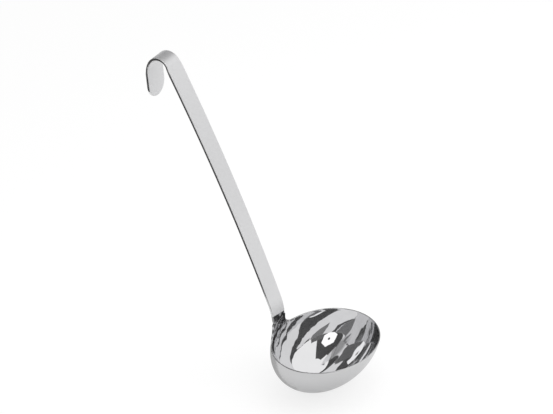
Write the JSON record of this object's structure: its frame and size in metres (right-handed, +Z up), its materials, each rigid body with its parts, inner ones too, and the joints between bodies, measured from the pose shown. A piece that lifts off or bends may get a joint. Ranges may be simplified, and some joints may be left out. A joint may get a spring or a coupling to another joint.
{
  "type": "soup ladle",
  "caption": "Stainless steel soup ladle: deep round drawn bowl, long flat strip handle welded to its neck tab, and an open hanging hook bent over at the top.",
  "frame": {"origin": "centre of the hook's bend, on the axis of the rail that it hangs on", "axes": "+Z up, square to the bowl's level rim and nearly along the handle; +Y along the rail that the hook hangs on; +X from the hook's side towards the bowl's mouth"},
  "size_m": [0.1609, 0.09, 0.2919],
  "materials": {
    "polished_steel": "polished stainless steel, mirror bright inside and softer outside",
    "ground_weld": "weld ground flush and polished",
    "satin_steel": "fine satin stainless steel, grain along the strip"
  },
  "bodies": {
    "root": {"bowl": "polished_steel", "neck_weld": "ground_weld", "handle": "satin_steel"}
  },
  "joints": []
}
